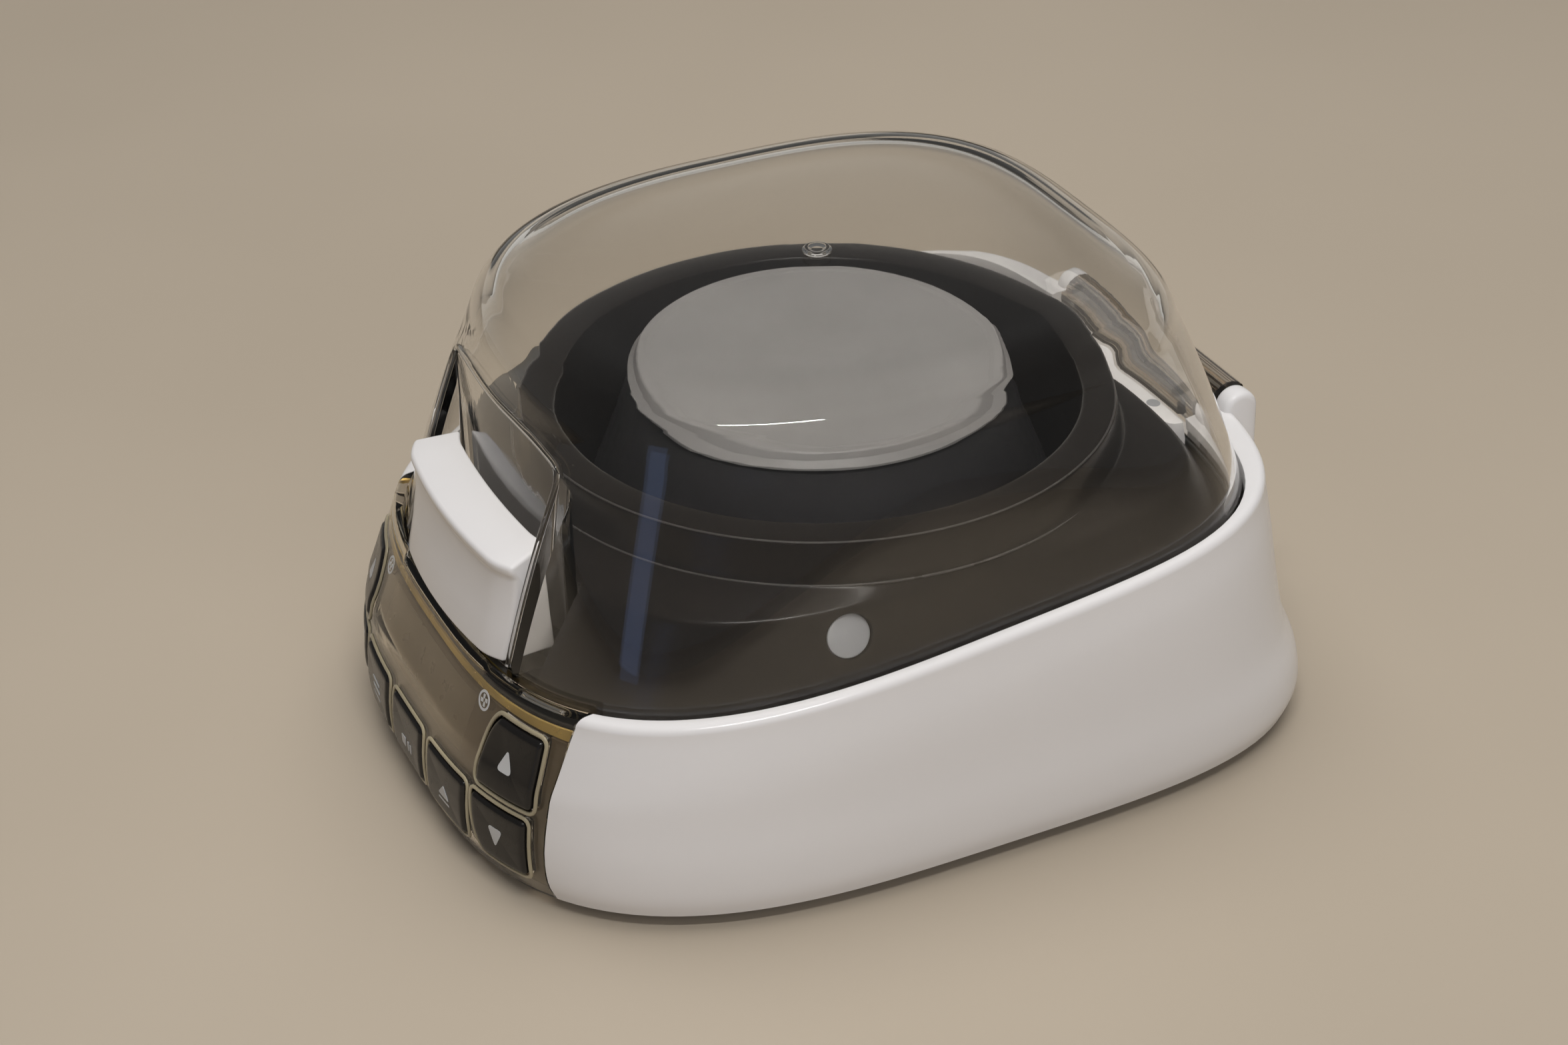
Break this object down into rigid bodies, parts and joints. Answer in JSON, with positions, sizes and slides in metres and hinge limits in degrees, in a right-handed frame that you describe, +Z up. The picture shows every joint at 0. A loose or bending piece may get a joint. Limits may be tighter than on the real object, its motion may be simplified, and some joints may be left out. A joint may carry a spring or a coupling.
{
  "type": "mini centrifuge",
  "caption": "Small bench centrifuge with a hinged clear domed lid, an angled rotor under a flat frosted cap, a ribbed dark deck, a white housing and a curved key panel with a display.",
  "frame": {"origin": "centre of the footprint, on the bench surface under the feet", "axes": "+Z up, -Y out of the key panel, +Y towards the lid's hinge, +X to the right of a user at the panel"},
  "size_m": [0.181, 0.2288, 0.124],
  "materials": {
    "white": "glossy white injection moulding",
    "deck": "satin charcoal moulding",
    "clear": "clear polished lid plastic",
    "tinted": "clear window plastic over the control panel",
    "backing": "bronze grey foil behind the window",
    "keys": "glossy black key cap",
    "frosted": "frosted pale grey moulding",
    "rotor": "satin dark grey moulding",
    "rubber": "matt black rubber",
    "steel": "plain machined steel",
    "board": "green circuit board",
    "black": "satin black moulding",
    "grey": "satin light grey moulding",
    "copper": "copper winding"
  },
  "bodies": {
    "base": {"side_housing": "white", "hinge_pin": "steel", "base_plate": "black", "panel_cover": "tinted", "panel_backing": "backing", "display_window": "black", "display_module": "grey", "control_board": "board", "chamber_deck": "deck", "deck_plug": "grey", "hinge_cover": "white", "rim_gasket": "rubber", "shaft_boot": "rubber", "latch_solenoid": "copper", "motor_can": "steel", "motor_stator": "copper", "bearing_lower": "steel", "bearing_upper": "steel", "motor_plate": "steel", "power_inlet": "black", "power_switch_frame": "black", "power_board": "board", "foot_1": "rubber", "base_screw_1": "steel", "damper_1": "rubber", "foot_2": "rubber", "base_screw_2": "steel", "damper_2": "rubber", "foot_3": "rubber", "base_screw_3": "steel", "damper_3": "rubber", "foot_4": "rubber", "base_screw_4": "steel", "damper_4": "rubber", "switch_program": "black", "switch_start_stop": "black", "switch_open": "black", "switch_right_up": "black", "switch_right_down": "black", "switch_left_up": "black", "switch_left_down": "black"},
    "lid": {"lid_dome": "clear", "lid_handle": "white", "latch_hook": "steel"},
    "rotor": {"rotor_body": "rotor", "rotor_nut": "steel", "motor_shaft": "steel", "motor_magnet": "grey"},
    "rotor_cap": {"rotor_cover": "frosted"},
    "bolt": {"latch_bolt": "steel"},
    "rocker": {"power_rocker": "keys"},
    "key_program": {"key_program": "keys"},
    "key_start_stop": {"key_start_stop": "keys"},
    "key_open": {"key_open": "keys"},
    "key_right_up": {"key_right_up": "keys"},
    "key_right_down": {"key_right_down": "keys"},
    "key_left_up": {"key_left_up": "keys"},
    "key_left_down": {"key_left_down": "keys"}
  },
  "joints": [
    {"name": "lid_hinge", "type": "hinge", "parent": "base", "child": "lid", "pos_m": [0, 0.0976, 0.073], "axis": [-1, 0, 0], "range_deg": [0, 85]},
    {"name": "rotor_spin", "type": "hinge", "parent": "base", "child": "rotor", "pos_m": [0, -0.001, 0.05], "axis": [0, 0, 1], "continuous": true},
    {"name": "rotor_cap_lift", "type": "slide", "parent": "rotor", "child": "rotor_cap", "axis": [0, 0, 1], "range_m": [0, 0.02]},
    {"name": "bolt_slide", "type": "slide", "parent": "base", "child": "bolt", "axis": [0, -1, 0], "range_m": [0, 0.0016], "stiffness_N_per_m": 120},
    {"name": "rocker_tilt", "type": "hinge", "parent": "base", "child": "rocker", "pos_m": [0.012, 0.1098, 0.021], "axis": [1, 0, 0], "range_deg": [0, 8]},
    {"name": "key_program_press", "type": "slide", "parent": "base", "child": "key_program", "axis": [0.0872, 0.9962, 0], "range_m": [0, 0.0008], "stiffness_N_per_m": 400},
    {"name": "key_start_stop_press", "type": "slide", "parent": "base", "child": "key_start_stop", "axis": [0, 1, 0], "range_m": [0, 0.0008], "stiffness_N_per_m": 400},
    {"name": "key_open_press", "type": "slide", "parent": "base", "child": "key_open", "axis": [-0.0872, 0.9962, 0], "range_m": [0, 0.0008], "stiffness_N_per_m": 400},
    {"name": "key_right_up_press", "type": "slide", "parent": "base", "child": "key_right_up", "axis": [-0.342, 0.9397, 0], "range_m": [0, 0.0008], "stiffness_N_per_m": 400},
    {"name": "key_right_down_press", "type": "slide", "parent": "base", "child": "key_right_down", "axis": [-0.342, 0.9397, 0], "range_m": [0, 0.0008], "stiffness_N_per_m": 400},
    {"name": "key_left_up_press", "type": "slide", "parent": "base", "child": "key_left_up", "axis": [0.342, 0.9397, 0], "range_m": [0, 0.0008], "stiffness_N_per_m": 400},
    {"name": "key_left_down_press", "type": "slide", "parent": "base", "child": "key_left_down", "axis": [0.342, 0.9397, 0], "range_m": [0, 0.0008], "stiffness_N_per_m": 400}
  ]
}
